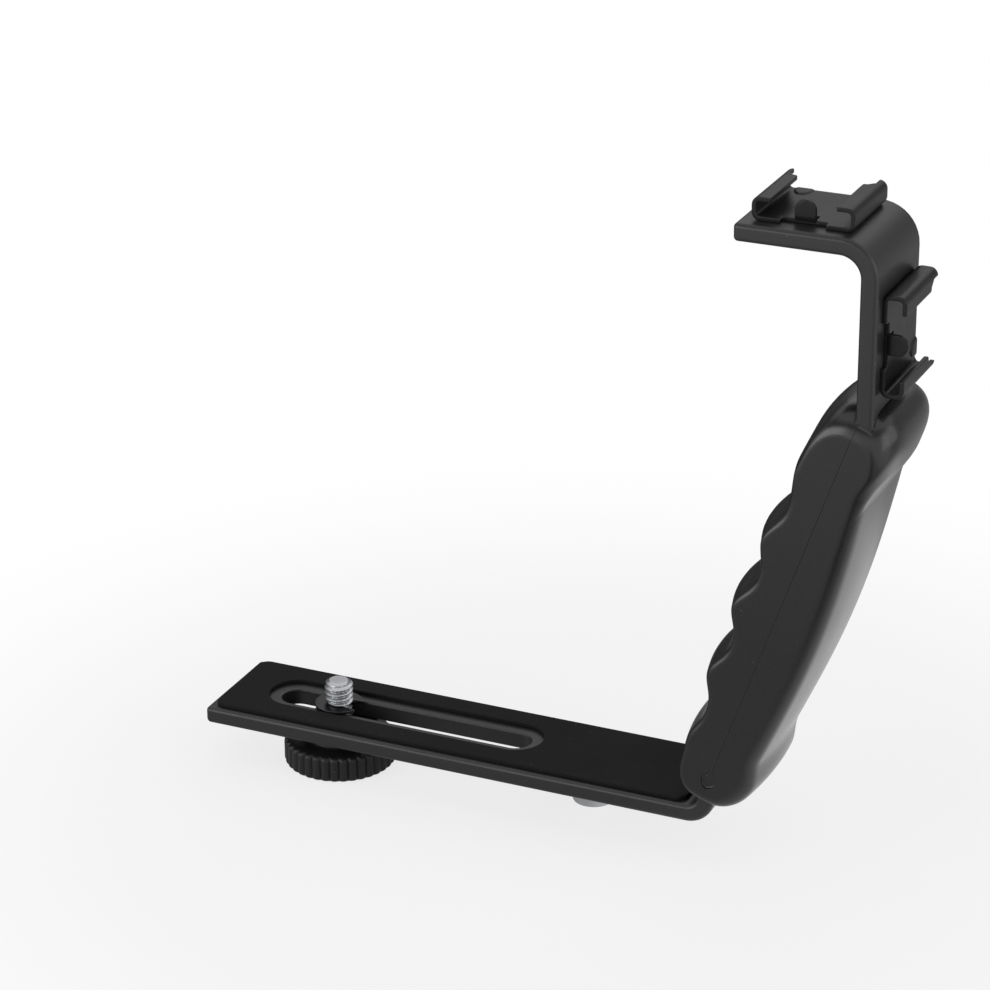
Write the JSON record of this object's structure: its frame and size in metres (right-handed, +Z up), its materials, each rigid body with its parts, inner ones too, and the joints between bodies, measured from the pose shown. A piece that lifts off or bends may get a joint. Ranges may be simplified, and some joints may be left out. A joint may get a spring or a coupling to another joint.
{
  "type": "camera flash bracket",
  "caption": "C-shaped bent flat bar with a slotted base, sliding knob bolt, leaning moulded finger grip, and pressed cold shoes on its arm and upright.",
  "frame": {"origin": "centre of the mouth of the tripod socket under the base", "axes": "+Z up out of the base, +X along the base towards the grip, +Y across the bar towards the open ends of the cold shoes"},
  "size_m": [0.1579, 0.0294, 0.1484],
  "materials": {
    "bar_coating": "satin black powder coat",
    "grip_moulding": "fine matt texture",
    "knob_moulding": "matt with polished ribs",
    "pad_rubber": "matt",
    "shoe_coating": "satin black",
    "rivet_steel": "black",
    "screw_steel": "black oxide",
    "zinc_steel": "bright zinc",
    "washer_nylon": "matt"
  },
  "bodies": {
    "bracket": {"bracket_bar": "bar_coating", "seat_pad": "pad_rubber", "tripod_insert": "zinc_steel", "grip_finger_shell": "grip_moulding", "grip_palm_shell": "grip_moulding", "grip_screw_lower": "screw_steel", "grip_screw_middle": "screw_steel", "grip_screw_upper": "screw_steel", "top_shoe": "shoe_coating", "top_shoe_rivet_middle": "rivet_steel", "top_shoe_rivet_rear": "rivet_steel", "side_shoe": "shoe_coating", "side_shoe_rivet_middle": "rivet_steel", "side_shoe_rivet_rear": "rivet_steel"},
    "slider": {"bolt_washer": "washer_nylon"},
    "knob": {"seat_knob": "knob_moulding", "seat_bolt": "zinc_steel", "bolt_clip": "screw_steel"}
  },
  "joints": [
    {"name": "bolt_slide", "type": "slide", "parent": "bracket", "child": "slider", "axis": [1, 0, 0], "range_m": [-0.0104, 0.043]},
    {"name": "knob_turn", "type": "hinge", "parent": "slider", "child": "knob", "pos_m": [-0.0616, 0, 0], "axis": [0, 0, 1], "continuous": true}
  ]
}
